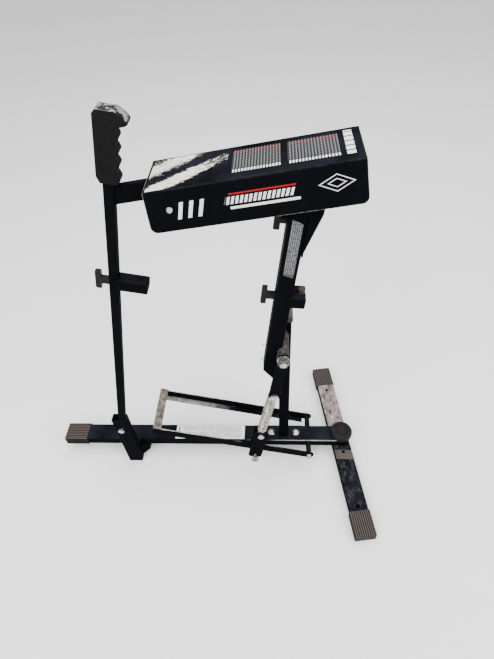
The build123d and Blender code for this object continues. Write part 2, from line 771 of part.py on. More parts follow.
# ---------------------------------------------------------------- pedal
def pedal_arm(side):
    """Angle-section arm: upright leg outside, flange along its lower edge turned inwards."""
    leg_bottom = -pedal_height / 2
    leg_length = tread_position + tread_width / 2
    with BuildPart() as arm:
        with BuildSketch(pedal_plane.offset(side * (pedal_half_width - pedal_sheet))):
            with BuildLine():
                Polyline((0, leg_bottom), (-leg_length, leg_bottom), (-leg_length, -leg_bottom),
                         (0, -leg_bottom))
                ThreePointArc((0, -leg_bottom), (-leg_bottom, 0), (0, leg_bottom))
            make_face()
        extrude(amount=side * pedal_sheet)
        with BuildSketch(pedal_plane.offset(side * (pedal_half_width - pedal_flange))):
            with Locations((-(leg_length + flange_setback) / 2, leg_bottom + pedal_sheet / 2)):
                Rectangle(leg_length - flange_setback, pedal_sheet)
        extrude(amount=side * pedal_flange)
        extrude(disc_profile(pedal_plane, pedal_bush_radius + fit_gap), amount=through, both=True,
                mode=Mode.SUBTRACT)
    return arm


pedal_arm_near = pedal_arm(1)
pedal_arm_far = pedal_arm(-1)

with BuildPart() as pedal_bushings:
    for side in (-1, 1):
        bush_y = bar_y + side * (pedal_half_width - pedal_sheet - bush_flange)
        bush_plane = Plane(origin=(pedal_x, bush_y, pedal_z), x_dir=(1, 0, 0), z_dir=(0, side, 0))
        extrude(ring_profile(bush_plane, pedal_bush_radius, pedal_axle_radius + fit_gap),
                amount=bush_flange + pedal_sheet + bush_lip)
        extrude(ring_profile(bush_plane, bush_flange_radius, pedal_axle_radius + fit_gap), amount=bush_flange)

pedal_axle_half = pedal_half_width + pedal_axle_tail
with BuildPart() as pedal_axle:
    extrude(disc_profile(y_plane(pedal_x, bar_y, pedal_z), pedal_axle_radius), amount=pedal_axle_half,
            both=True)

with BuildPart() as pedal_axle_nuts:
    for side in (-1, 1):
        nut_y = bar_y + side * (pedal_half_width + pedal_nut_gap)
        nut_plane = Plane(origin=(pedal_x, nut_y, pedal_z), x_dir=(1, 0, 0), z_dir=(0, side, 0))
        extrude(hex_profile(nut_plane, pedal_nut_flats), amount=pedal_nut_height)
        with Locations(Plane(origin=(pedal_x, nut_y + side * pedal_nut_height, pedal_z))):
            Sphere(pedal_nut_dome)
    extrude(disc_profile(y_plane(pedal_x, bar_y, pedal_z), pedal_axle_radius), amount=pedal_axle_half,
            both=True, mode=Mode.SUBTRACT)

with BuildPart() as foot_tread:
    with BuildSketch(face_plane(pedal_plane, -tread_position, pedal_height / 2)):
        with BuildLine():
            ThreePointArc((0, -pedal_half_width), (tread_rise, 0), (0, pedal_half_width))
            Line((0, pedal_half_width), (tread_sheet, pedal_half_width))
            ThreePointArc((tread_sheet, pedal_half_width), (tread_rise + tread_sheet, 0),
                          (tread_sheet, -pedal_half_width))
            Line((tread_sheet, -pedal_half_width), (0, -pedal_half_width))
        make_face()
    extrude(amount=tread_width / 2, both=True)

with BuildPart() as pedal_spacers:
    for side in (-1, 1):
        spacer_plane = Plane(origin=(pedal_x, bar_y + side * tube_width / 2, pedal_z), x_dir=(1, 0, 0),
                             z_dir=(0, side, 0))
        spacer_length = pedal_half_width - pedal_sheet - bush_flange - free_gap - tube_width / 2
        extrude(ring_profile(spacer_plane, pedal_bush_radius, pedal_axle_radius), amount=spacer_length)

# ---------------------------------------------------------------- spring linkage
with BuildPart() as spring_top_hook:
    extrude(ring_profile(spring_plane, top_hook_radius, crank_bolt_radius + fit_gap), amount=hook_half,
            both=True)
    with BuildSketch(spring_plane):
        with Locations((0, -(hook_neck_start + spring_start) / 2)):
            Rectangle(hook_neck, spring_start - hook_neck_start)
    extrude(amount=hook_half, both=True)


def coil_tube(start, end):
    """Envelope of a stretch of the close-wound spring."""
    with BuildPart() as coil:
        extrude(ring_profile(cross_plane(spring_plane, 0, -end), spring_radius, spring_radius - spring_wire),
                amount=end - start)
    return coil


spring_upper_coils = coil_tube(spring_start, spring_split)
spring_lower_coils = coil_tube(spring_split, spring_end)

with BuildPart() as spring_bottom_hook:
    bolt_point = on_plane(spring_plane, 0, -clevis_bolt_position)
    extrude(ring_profile(y_plane(bolt_point.X, spring_y, bolt_point.Z), bottom_hook_radius,
                         clevis_bolt_radius), amount=hook_half, both=True)
    with BuildSketch(spring_plane):
        with Locations((0, -(spring_end + clevis_bolt_position - hook_neck) / 2)):
            Rectangle(hook_neck, clevis_bolt_position - hook_neck - spring_end)
    extrude(amount=hook_half, both=True)

with BuildPart() as spring_clevis:
    for side in (-1, 1):
        with BuildSketch(spring_plane.offset(side * (clevis_half - clevis_sheet))):
            with Locations((0, -(clevis_start + clevis_end) / 2)):
                RectangleRounded(clevis_width, clevis_end - clevis_start, clevis_corner)
        extrude(amount=side * clevis_sheet)
    with BuildSketch(spring_plane):
        with Locations(((clevis_width - clevis_sheet) / 2, -(clevis_start + clevis_end) / 2)):
            Rectangle(clevis_sheet, clevis_end - clevis_start - 2 * clevis_web_margin)
    extrude(amount=clevis_half - clevis_web_inset, both=True)
    extrude(disc_profile(y_plane(bolt_point.X, spring_y, bolt_point.Z), clevis_bolt_radius), amount=through,
            both=True, mode=Mode.SUBTRACT)
    extrude(disc_profile(y_plane(pin_x, spring_y, pin_z), clevis_pin_radius), amount=through, both=True,
            mode=Mode.SUBTRACT)

with BuildPart() as clevis_bolt:
    extrude(disc_profile(y_plane(bolt_point.X, spring_y + clevis_half, bolt_point.Z), clevis_bolt_radius),
            amount=2 * clevis_half)
    extrude(hex_profile(y_plane(bolt_point.X, spring_y - clevis_half, bolt_point.Z), m10_flats),
            amount=clevis_bolt_head)

pin_far = spring_y + clevis_half - pin_inset
ring_plane = Plane(origin=(pin_x, pin_ball_y, pin_z - ring_radius), x_dir=(1, 0, 0), z_dir=(0, -1, 0))
with BuildPart() as clevis_pin:
    extrude(disc_profile(y_plane(pin_x, pin_far, pin_z), clevis_pin_radius), amount=pin_far - pin_ball_y)
    with Locations((pin_x, pin_ball_y, pin_z)):
        Sphere(pin_ball_radius)
    with Locations(ring_plane):
        Torus(ring_radius, ring_wire + free_gap, mode=Mode.SUBTRACT)

with BuildPart() as pin_ring:
    with Locations(ring_plane):
        Torus(ring_radius, ring_wire)

# ---------------------------------------------------------------- stabiliser
stabiliser_plane = Plane(origin=(stabiliser_x, bar_y, stabiliser_bottom + stabiliser_height / 2),
                         x_dir=(cos(radians(stabiliser_skew)), sin(radians(stabiliser_skew)), 0),
                         z_dir=(sin(radians(stabiliser_skew)), -cos(radians(stabiliser_skew)), 0))
with BuildPart() as stabiliser:
    extrude(tube_profile(stabiliser_plane.offset(-far_reach), tube_width, stabiliser_height, tube_wall,
                         tube_corner), amount=far_reach + near_reach)
    with BuildSketch(Plane.XY.offset(stabiliser_top)):
        with Locations((stabiliser_x, bar_y)):
            Circle(frame_bolt_radius + fit_gap)
    extrude(amount=-2 * tube_wall, mode=Mode.SUBTRACT)
    with BuildSketch(Plane.XY):
        with Locations((stabiliser_x, bar_y)):
            Circle(pivot_access_radius)
    extrude(amount=pivot_access_depth, mode=Mode.SUBTRACT)
    for reach in (-round_hole_reach, patch_hole_reach):
        hole_point = stabiliser_plane.from_local_coords(Vector(0, 0, reach))
        with BuildSketch(Plane(origin=(hole_point.X, hole_point.Y, stabiliser_top))):
            Circle(plain_hole_radius)
        extrude(amount=-2 * tube_wall, mode=Mode.SUBTRACT)
    square_point = stabiliser_plane.from_local_coords(Vector(0, 0, square_hole_reach))
    with BuildSketch(Plane(origin=(square_point.X, square_point.Y, stabiliser_top),
                           x_dir=stabiliser_plane.x_dir)):
        RectangleRounded(square_hole_size, square_hole_size, square_hole_corner)
    extrude(amount=-2 * tube_wall, mode=Mode.SUBTRACT)

near_end = stabiliser_plane.offset(near_reach)
far_end = Plane(origin=stabiliser_plane.offset(-far_reach).origin, x_dir=-stabiliser_plane.x_dir,
                z_dir=-stabiliser_plane.z_dir)
stabiliser_cap_near = ribbed_cap(near_end, stabiliser_height)
stabiliser_cap_far = ribbed_cap(far_end, stabiliser_height)

with BuildPart() as pivot_bolt:
    with BuildSketch(Plane.XY.offset(stabiliser_top - tube_wall - free_gap)):
        with Locations((stabiliser_x, bar_y)):
            Circle(pivot_head_radius)
    extrude(amount=-pivot_head_height)
    with BuildSketch(Plane.XY.offset(stabiliser_top - tube_wall - free_gap)):
        with Locations((stabiliser_x, bar_y)):
            Circle(frame_bolt_radius)
    extrude(amount=bar_top + pivot_bolt_rise - stabiliser_top)

with BuildPart() as pivot_washer:
    with BuildSketch(Plane.XY.offset(stabiliser_top)):
        with Locations((stabiliser_x, bar_y)):
            Circle(pivot_washer_radius)
            Circle(frame_bolt_radius + fit_gap, mode=Mode.SUBTRACT)
    extrude(amount=bar_bottom - stabiliser_top)

with BuildPart() as stabiliser_knob:
    knob_bottom = bar_top + free_gap
    with BuildSketch(Plane(origin=(stabiliser_x, bar_y, knob_bottom), x_dir=(1, 0, 0), z_dir=(0, -1, 0))):
        with BuildLine():
            Polyline((0, 0), (32, 0), (34, 3), (34, 14), (32, 19), (27, 22), (22, 22), (20.5, 20), (17, 20),
                     (15, 24))
            Polyline((15, 24), (10, 26), (0, 26.6), (0, 0))
        make_face()
    revolve(axis=Axis((stabiliser_x, bar_y, 0), (0, 0, 1)))
    with BuildSketch(Plane.XY.offset(knob_bottom)):
        with Locations((stabiliser_x, bar_y)):
            Circle(frame_bolt_radius + fit_gap)
    extrude(amount=pivot_knob_bore, mode=Mode.SUBTRACT)

# ---------------------------------------------------------------- files
pieces = {
    "main_bar": main_bar, "rear_cap": rear_cap, "rear_foot": rear_foot, "handle_socket": handle_socket,
    "socket_bolt": socket_bolt, "handle_bar": handle_bar, "handle_grip": handle_grip, "top_tube": top_tube,
    "hood_bracket": hood_bracket, "hood_shell": hood_shell, "hood_rivets": hood_rivets,
    "post_base": post_base, "base_bolts": base_bolts, "post": post, "post_cap": post_cap,
    "hub_axle": hub_axle, "axle_nuts": axle_nuts, "axle_washers": axle_washers, "hub_spacer": hub_spacer,
    "pivot_bolt": pivot_bolt, "pivot_washer": pivot_washer, "pedal_axle": pedal_axle,
    "pedal_axle_nuts": pedal_axle_nuts, "stabiliser": stabiliser,
    "stabiliser_cap_near": stabiliser_cap_near, "stabiliser_cap_far": stabiliser_cap_far,
    "stabiliser_knob": stabiliser_knob, "cocking_bumper": cocking_bumper, "bumper_knob": bumper_knob,
    "bumper_stud": bumper_stud, "throwing_arm": throwing_arm, "hub_sleeve": hub_sleeve,
    "hub_bushings": hub_bushings, "crank_strap": crank_strap, "crank_bolt": crank_bolt,
    "arm_hooks": arm_hooks, "stop_block": stop_block, "stop_bolt": stop_bolt, "stop_knob": stop_knob,
    "stop_stud": stop_stud, "cup_bracket": cup_bracket, "ball_cup": ball_cup, "cup_knob": cup_knob,
    "cup_stud": cup_stud, "pedal_arm_near": pedal_arm_near, "pedal_arm_far": pedal_arm_far,
    "pedal_bushings": pedal_bushings, "foot_tread": foot_tread, "pedal_spacers": pedal_spacers,
    "spring_top_hook": spring_top_hook, "spring_upper_coils": spring_upper_coils,
    "spring_lower_coils": spring_lower_coils, "spring_bottom_hook": spring_bottom_hook,
    "spring_clevis": spring_clevis, "clevis_bolt": clevis_bolt, "clevis_pin": clevis_pin,
    "pin_ring": pin_ring,
}
for name, piece in pieces.items():
    piece.part.label = name
    export_step(piece.part, f"parts/{name}.step")
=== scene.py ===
"""Baseball pitching machine: materials, spring wire, labels, floor, light and camera around its frame."""
import json
from math import cos, pi, radians, sin

import bpy
from mathutils import Matrix, Vector


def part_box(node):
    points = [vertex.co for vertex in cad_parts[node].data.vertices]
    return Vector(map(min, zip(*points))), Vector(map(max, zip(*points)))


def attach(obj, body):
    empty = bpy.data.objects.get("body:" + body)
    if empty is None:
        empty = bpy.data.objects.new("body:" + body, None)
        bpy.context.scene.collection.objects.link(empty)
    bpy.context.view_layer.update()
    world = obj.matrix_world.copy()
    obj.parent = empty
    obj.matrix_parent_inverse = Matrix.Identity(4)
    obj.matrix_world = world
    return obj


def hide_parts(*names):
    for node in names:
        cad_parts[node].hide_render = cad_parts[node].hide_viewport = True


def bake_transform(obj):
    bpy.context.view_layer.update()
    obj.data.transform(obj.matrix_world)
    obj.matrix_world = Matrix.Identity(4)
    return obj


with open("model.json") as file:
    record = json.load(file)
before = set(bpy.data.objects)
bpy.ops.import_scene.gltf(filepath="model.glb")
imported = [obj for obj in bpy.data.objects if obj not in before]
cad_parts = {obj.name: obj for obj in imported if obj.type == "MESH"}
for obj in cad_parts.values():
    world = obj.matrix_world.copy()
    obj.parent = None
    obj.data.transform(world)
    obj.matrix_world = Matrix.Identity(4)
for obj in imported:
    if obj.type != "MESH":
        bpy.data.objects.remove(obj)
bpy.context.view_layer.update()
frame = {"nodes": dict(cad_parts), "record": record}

nodes = frame["nodes"]

# ---------------------------------------------------------------- the machine's own places, in metres
X = Vector((1, 0, 0))
Y = Vector((0, 1, 0))
Z = Vector((0, 0, 1))

# The hood's near rear top corner, the arm's hub, lean and near face, the crank, the spring's lower pin
# and the stabiliser's cap ribs, as the CAD has them at rest.
HOOD_CORNER = Vector((-0.0129, -0.1044, 1.0112))
HOOD_PITCH = radians(8.3)
HUB = Vector((0.2252, -0.0474, 0.5615))
ARM_LEAN = radians(7.2)
ARM_NEAR_Y = -0.0654
ARM_ACROSS = -0.0222
CRANK_DISTANCE = 0.148
CRANK_ACROSS = -0.0038
SPRING_Y = -0.075
PIN = Vector((0.1424, SPRING_Y, 0.1006))
CAP_CENTRE = Vector((0.416, 0.011, 0))
CAP_RIB_PITCH = 0.0062
STABILISER_SKEW = radians(8.3)

# The spring's wire, with distances measured from the crank down the spring's axis.
SPRING_START = 0.016
SPRING_SPLIT = 0.108
SPRING_END = 0.190
UPPER_TURNS = 26
LOWER_TURNS = 23
COIL_RADIUS = 0.0117
WIRE_RADIUS = 0.0017
WIRE_SIDES = 8
STEPS_PER_TURN = 26


def leaning(lean):
    """Across and up directions of a plane seen from the near side and tipped by lean."""
    return Vector((cos(lean), 0, -sin(lean))), Vector((sin(lean), 0, cos(lean)))


arm_across, arm_up = leaning(ARM_LEAN)
crank = HUB + CRANK_ACROSS * arm_across - CRANK_DISTANCE * arm_up
crank.y = SPRING_Y
spring_down = (PIN - crank).normalized()


# ---------------------------------------------------------------- small shader language
EDGE_SAMPLES = 6
FLAT_COSINE = 0.995
EDGE_COSINE = 0.88
CLOUD_LOW, CLOUD_HIGH = 0.3, 0.7


class Net:
    """Builds a material's node tree out of short calls."""

    def __init__(self, name):
        self.material = bpy.data.materials.new(name)
        self.material.use_nodes = True
        self.tree = self.material.node_tree
        self.surface = self.tree.nodes["Principled BSDF"]
        coordinates = self.tree.nodes.new("ShaderNodeTexCoord")
        self.place = coordinates.outputs["Object"]
        self.normal = coordinates.outputs["Normal"]

    def put(self, socket, value):
        """Links a socket to an input, or sets a plain value on it."""
        if isinstance(value, bpy.types.NodeSocket):
            self.tree.links.new(value, socket)
        elif isinstance(value, (tuple, list)) and len(value) == 3 and len(socket.default_value) == 4:
            socket.default_value = (*value, 1)
        else:
            socket.default_value = value

    def math(self, operation, a, b=0.0):
        """One arithmetic node; b is ignored where the operation takes one value."""
        node = self.tree.nodes.new("ShaderNodeMath")
        node.operation = operation
        self.put(node.inputs[0], a)
        self.put(node.inputs[1], b)
        return node.outputs[0]

    def along(self, direction, origin=Vector((0, 0, 0))):
        """Distance of a point from origin along a direction."""
        node = self.tree.nodes.new("ShaderNodeVectorMath")
        node.operation = "DOT_PRODUCT"
        self.put(node.inputs[0], self.place)
        node.inputs[1].default_value = direction
        return self.math("SUBTRACT", node.outputs["Value"], direction.dot(origin))

    def scaled(self, value, factor):
        """A value times a number."""
        return self.math("MULTIPLY", value, factor)

    def above(self, value, low):
        """1 where value > low."""
        return self.math("GREATER_THAN", value, low)

    def below(self, value, high):
        """1 where value < high."""
        return self.math("LESS_THAN", value, high)

    def between(self, value, low, high):
        """1 where low < value < high."""
        return self.math("MULTIPLY", self.above(value, low), self.below(value, high))

    def away(self, value, middle):
        """How far a value is from a middle, either way."""
        return self.math("ABSOLUTE", self.math("SUBTRACT", value, middle))

    def repeat(self, value, per_metre):
        """0 to 1, over and over, that many times in each metre."""
        return self.math("FRACT", self.scaled(value, per_metre))

    def both(self, *masks):
        """The product of all the masks."""
        result = masks[0]
        for mask in masks[1:]:
            result = self.math("MULTIPLY", result, mask)
        return result

    def either(self, *masks):
        """The largest of all the masks."""
        result = masks[0]
        for mask in masks[1:]:
            result = self.math("MAXIMUM", result, mask)
        return result

    def ramp(self, value, low, high, start=0.0, end=1.0):
        """Start at low and end at high, held beyond both."""
        node = self.tree.nodes.new("ShaderNodeMapRange")
        for socket, number in zip(node.inputs, (value, low, high, start, end)):
            self.put(socket, number)
        return node.outputs[0]

    def roughness(self, cloud, smoothest, roughest):
        """Roughness that follows a cloud of noise."""
        return self.ramp(cloud, CLOUD_LOW, CLOUD_HIGH, smoothest, roughest)

    def noise(self, scale, detail, rough=0.6, stretch=(1, 1, 1)):
        """Fractal noise around 0.5, finer along an axis where stretch is larger."""
        node = self.tree.nodes.new("ShaderNodeTexNoise")
        self.put(node.inputs["Scale"], scale)
        self.put(node.inputs["Detail"], detail)
        self.put(node.inputs["Roughness"], rough)
        place = self.tree.nodes.new("ShaderNodeMapping")
        self.put(place.inputs["Vector"], self.place)
        place.inputs["Scale"].default_value = stretch
        self.put(node.inputs["Vector"], place.outputs[0])
        return node.outputs["Fac"]

    def cells(self, scale):
        """Distance to the nearest of many scattered points."""
        node = self.tree.nodes.new("ShaderNodeTexVoronoi")
        node.feature = "F1"
        self.put(node.inputs["Vector"], self.place)
        self.put(node.inputs["Scale"], scale)
        return node.outputs["Distance"]

    def mix(self, mask, a, b):
        """Colour a where the mask is 0 and colour b where it is 1."""
        node = self.tree.nodes.new("ShaderNodeMix")
        node.data_type = "RGBA"
        self.put(node.inputs[0], mask)
        self.put(node.inputs[6], a)
        self.put(node.inputs[7], b)
        return node.outputs[2]

    def edges(self, radius):
        """1 near an edge, fading over the radius, from how far a rounded normal leans off the flat one."""
        bevel = self.tree.nodes.new("ShaderNodeBevel")
        bevel.samples = EDGE_SAMPLES
        bevel.inputs["Radius"].default_value = radius
        flat = self.tree.nodes.new("ShaderNodeNewGeometry")
        dot = self.tree.nodes.new("ShaderNodeVectorMath")
        dot.operation = "DOT_PRODUCT"
        self.put(dot.inputs[0], bevel.outputs[0])
        self.put(dot.inputs[1], flat.outputs["True Normal"])
        return self.ramp(dot.outputs["Value"], FLAT_COSINE, EDGE_COSINE)

    def facing(self, low, high):
        """1 where the surface looks up at rest."""
        split = self.tree.nodes.new("ShaderNodeSeparateXYZ")
        self.put(split.inputs[0], self.normal)
        return self.ramp(split.outputs["Z"], low, high)

    def finish(self, color, rough, metal, bump, strength, distance, ior=1.5):
        """Connects colour, roughness, metal and bump, and sets the index of refraction."""
        self.surface.inputs["IOR"].default_value = ior
        self.put(self.surface.inputs["Base Color"], color)
        self.put(self.surface.inputs["Roughness"], rough)
        self.put(self.surface.inputs["Metallic"], metal)
        node = self.tree.nodes.new("ShaderNodeBump")
        node.inputs["Strength"].default_value = strength
        node.inputs["Distance"].default_value = distance
        self.put(node.inputs["Height"], bump)
        self.put(self.surface.inputs["Normal"], node.outputs[0])
        return self.material


# ---------------------------------------------------------------- black paint
# Colours are linear, and a pair holds the two ends of a mix. Places and radii are in metres.
PAINT = (0.0015, 0.0016, 0.0022)
PAINT_LIT = (0.0042, 0.0046, 0.0066)
PAINT_SCUFF = (0.050, 0.051, 0.058)
PAINT_DUST_AND_SKY_SHEEN = (0.016, 0.018, 0.026)
STEEL = (0.50, 0.49, 0.47)
BAR_RUB_AND_HIGHLIGHT = (0.34, 0.33, 0.33)
PEDAL_RUB_AND_HIGHLIGHT = (0.45, 0.44, 0.42)
LEG_BRUISE = (0.060, 0.056, 0.064)
LEG_BROWN = (0.085, 0.072, 0.064)
LEG_SKY_REFLECTION = ((0.11, 0.075, 0.07), (0.44, 0.37, 0.375))
PAINT_IOR = 1.04
PAINT_BUMP = 0.0002
PAINT_EDGE_RADIUS = 0.0016
BAR_RUB_AND_HIGHLIGHT_ALONG = (0.10, 0.24)
BAR_RUB_AND_HIGHLIGHT_ACROSS = (-0.0185, -0.0140)
FAR_LEG_SKY_REFLECTION_FROM = (0.030, 0.055)
NEAR_LEG_BROWN_ACROSS = (-0.062, -0.030)
PEDAL_RUB_AND_HIGHLIGHT_ALONG = (0.06, -0.06)


def painted(net, worn):
    """Colour, roughness, metal and bump of black powder coat, scuffed and bright along its edges, with dust
    and a painted bluish sky sheen on its upward faces.
    """
    broad = net.noise(9, 5)
    grain = net.noise(1500, 2, 0.5)
    scratch = net.noise(60, 7, 0.75, stretch=(1, 1, 6))
    chipped = net.ramp(net.noise(45, 6, 0.7), 0.66 - 0.2 * worn, 0.80 - 0.2 * worn)
    edge = net.both(net.edges(PAINT_EDGE_RADIUS), chipped, 0.8)
    fleck = net.above(net.noise(140, 8, 0.8), 0.735)
    scuff = net.scaled(net.ramp(scratch, 0.60, 0.72), 0.18)
    # Dust and a painted bluish sky sheen on upward faces, in patches.
    dust_and_sky_sheen = net.both(net.facing(0.6, 1.0), net.ramp(broad, 0.35, 0.7), 0.7)
    bare = net.either(edge, fleck)
    color = net.mix(broad, PAINT, PAINT_LIT)
    color = net.mix(scuff, color, PAINT_SCUFF)
    color = net.mix(dust_and_sky_sheen, color, PAINT_DUST_AND_SKY_SHEEN)
    color = net.mix(bare, color, STEEL)
    rough = net.ramp(net.math("ADD", broad, scuff), 0.3, 0.9, start=0.50, end=0.74)
    return color, rough, net.scaled(bare, 0.85), grain


def powder_coat():
    """Painted steel: most of the frame, the arm, the clamped blocks and the clevis."""
    net = Net("black_powder_coat")
    color, rough, metal, grain = painted(net, worn=0.35)
    return net.finish(color, rough, metal, grain, strength=0.10, distance=PAINT_BUMP, ior=PAINT_IOR)


def bar_coat():
    """Main bar: powder coat, with rubbed bare metal and a painted highlight along its near top edge towards
    the front.
    """
    net = Net("main_bar_coat")
    color, rough, metal, grain = painted(net, worn=0.45)
    towards_front = net.ramp(net.along(X), *BAR_RUB_AND_HIGHLIGHT_ALONG)
    near_edge = net.between(net.along(Y), *BAR_RUB_AND_HIGHLIGHT_ACROSS)
    patches = net.ramp(net.noise(70, 6, 0.7, stretch=(0.3, 1, 1)), 0.36, 0.50)
    # Rubbed bare metal and a painted highlight along the near top edge, towards the front.
    rub_and_highlight = net.both(towards_front, near_edge, net.facing(0.15, 0.5), patches)
    color = net.mix(rub_and_highlight, color, BAR_RUB_AND_HIGHLIGHT)
    return net.finish(color, rough, net.either(metal, rub_and_highlight), grain,
                      strength=0.10, distance=PAINT_BUMP, ior=PAINT_IOR)


def stabiliser_coat():
    """Stabiliser: its far leg's top is painted pale and patchy as a sky reflection, its near leg is dusty
    with a painted bluish sky sheen on top and one brown patch.
    """
    net = Net("stabiliser_coat")
    color, rough, metal, grain = painted(net, worn=0.5)
    y = net.along(Y)
    up = net.facing(0.7, 0.95)
    # Painted sky reflection: pale patches on top of the far leg, shaped by this noise.
    wear = net.noise(34, 10, 0.78, stretch=(1.6, 0.7, 1))
    sky_reflection = net.both(up, net.ramp(y, *FAR_LEG_SKY_REFLECTION_FROM), net.ramp(wear, 0.36, 0.56))
    sky_reflection_tint = net.mix(net.ramp(net.noise(22, 8, 0.75), 0.34, 0.66), *LEG_SKY_REFLECTION)
    streak = net.noise(16, 9, 0.72, stretch=(2.2, 0.6, 1))
    brown = net.both(up, net.between(y, *NEAR_LEG_BROWN_ACROSS), net.ramp(streak, 0.30, 0.42))
    blotch = net.noise(48, 9, 0.8, stretch=(1.5, 0.8, 1))
    bruise = net.both(up, net.ramp(blotch, 0.50, 0.64), 0.7)
    color = net.mix(bruise, color, LEG_BRUISE)
    color = net.mix(sky_reflection, color, sky_reflection_tint)
    color = net.mix(net.scaled(brown, 0.85), color, LEG_BROWN)
    return net.finish(color, rough, metal, grain, strength=0.12, distance=PAINT_BUMP, ior=PAINT_IOR)


def pedal_coat():
    """Pedal arms: powder coat, with the flange tops near the foot rubbed to bare metal and carrying a
    painted highlight.
    """
    net = Net("pedal_coat")
    color, rough, metal, grain = painted(net, worn=0.7)
    towards_foot = net.ramp(net.along(X), *PEDAL_RUB_AND_HIGHLIGHT_ALONG)
    patches = net.ramp(net.noise(40, 8, 0.75), 0.36, 0.52)
    # Rubbed bare metal and a painted highlight on the flange tops near the foot.
    rub_and_highlight = net.both(net.facing(0.7, 0.9), towards_foot, patches)
    color = net.mix(rub_and_highlight, color, PEDAL_RUB_AND_HIGHLIGHT)
    return net.finish(color, rough, net.either(metal, rub_and_highlight), grain,
                      strength=0.12, distance=PAINT_BUMP, ior=PAINT_IOR)


# ---------------------------------------------------------------- metal, rubber and plastic
ZINC = ((0.24, 0.235, 0.225), (0.60, 0.59, 0.56))
RUST = (0.12, 0.085, 0.055)
BRASSY = ((0.10, 0.085, 0.065), (0.36, 0.19, 0.07))
TREAD = ((0.030, 0.024, 0.019), (0.24, 0.195, 0.15))
LEFTOVER_PAINT = (0.012, 0.011, 0.011)
SLEEVE = ((0.012, 0.010, 0.010), (0.085, 0.076, 0.070))
SPRING = ((0.13, 0.12, 0.105), (0.48, 0.45, 0.39))
GRIP = ((0.003, 0.003, 0.0035), (0.012, 0.0115, 0.012))
PALM_WORN = (0.34, 0.335, 0.33)
CAP = ((0.022, 0.018, 0.017), (0.095, 0.078, 0.070))
CAP_DUST_AND_TOP_LIGHT = (0.11, 0.092, 0.084)
CAP_GROOVE_SHADE = (0.006, 0.005, 0.005)
PLASTIC = ((0.005, 0.005, 0.0055), (0.022, 0.020, 0.020))
PLASTIC_EDGE = (0.09, 0.09, 0.094)
PIN_STEEL = ((0.05, 0.045, 0.035), (0.42, 0.38, 0.32))
NUT_STEEL = ((0.018, 0.016, 0.014), (0.20, 0.18, 0.16))
BOLT_STEEL = ((0.010, 0.009, 0.009), (0.11, 0.085, 0.065))
PLASTIC_EDGE_RADIUS = 0.0012
GRIP_WORN_UP = (1.090, 1.112)
GRIP_RIBS_TOP = 1.108
GRIP_RIBS_PER_METRE = 230.0


def zinc():
    """Fasteners, axles, studs and the arm's small hooks: grey plating with a little rust."""
    net = Net("zinc_plate")
    cloud = net.noise(120, 6)
    rust = net.ramp(net.noise(260, 8, 0.8), 0.66, 0.76)
    color = net.mix(net.ramp(cloud, 0.35, 0.65), *ZINC)
    color = net.mix(net.scaled(rust, 0.7), color, RUST)
    return net.finish(color, net.roughness(cloud, 0.20, 0.42), metal=0.95, bump=net.noise(900, 3),
                      strength=0.08, distance=0.0002)


def gilded():
    """Ring on the clevis pin: bright steel with a brassy tint in patches."""
    net = Net("brassy_ring")
    cloud = net.noise(180, 5)
    color = net.mix(cloud, *BRASSY)
    return net.finish(color, net.roughness(cloud, 0.18, 0.35), metal=0.6, bump=net.noise(800, 3),
                      strength=0.08, distance=0.0002)


def bare_steel():
    """Foot tread: tan and silver steel with the paint rubbed away."""
    net = Net("worn_bare_steel")
    cloud = net.noise(38, 9, 0.75)
    left_paint = net.ramp(net.noise(60, 9, 0.78), 0.52, 0.60)
    color = net.mix(net.ramp(cloud, 0.40, 0.62), *TREAD)
    color = net.mix(net.scaled(left_paint, 0.85), color, LEFTOVER_PAINT)
    return net.finish(color, net.roughness(cloud, 0.40, 0.64), metal=0.30, bump=net.noise(300, 7, 0.7),
                      strength=0.25, distance=0.0004)


def sleeve_steel():
    """Hub sleeve: dull dark steel."""
    net = Net("hub_sleeve_steel")
    cloud = net.noise(70, 8, 0.7)
    color = net.mix(net.ramp(cloud, 0.36, 0.64), *SLEEVE)
    return net.finish(color, net.roughness(cloud, 0.50, 0.7), metal=0.0, bump=net.noise(400, 6),
                      strength=0.2, distance=0.0003, ior=1.12)


def aged_steel(name, dark, light):
    """Nuts, a bolt and a pin that have lost most of their plating."""
    net = Net(name)
    cloud = net.noise(230, 7, 0.75)
    color = net.mix(net.ramp(cloud, 0.40, 0.62), dark, light)
    return net.finish(color, net.roughness(cloud, 0.34, 0.56), metal=0.45, bump=net.noise(900, 4),
                      strength=0.15, distance=0.0002, ior=1.12)


def spring_steel():
    """Spring wire and its hooks."""
    net = Net("spring_wire")
    cloud = net.noise(90, 5)
    color = net.mix(net.ramp(cloud, 0.35, 0.65), *SPRING)
    return net.finish(color, net.roughness(cloud, 0.24, 0.42), metal=0.85, bump=net.noise(700, 3),
                      strength=0.08, distance=0.0002)


def rubber():
    """Hand grip: black rubber, silvery where a palm has worn its top."""
    net = Net("grip_rubber")
    cloud = net.noise(60, 8, 0.7)
    height = net.along(Z)
    rubbed = net.ramp(net.noise(95, 8, 0.8), 0.46, 0.60)
    top = net.both(net.ramp(height, *GRIP_WORN_UP), net.facing(0.25, 0.6), rubbed)
    ribs = net.both(net.repeat(height, GRIP_RIBS_PER_METRE), net.below(height, GRIP_RIBS_TOP))
    pits = net.math("ADD", net.cells(420), net.scaled(ribs, 0.9))
    color = net.mix(cloud, *GRIP)
    color = net.mix(top, color, PALM_WORN)
    return net.finish(color, net.roughness(cloud, 0.45, 0.65), metal=0.0, bump=pits,
                      strength=0.35, distance=0.0006, ior=1.08)


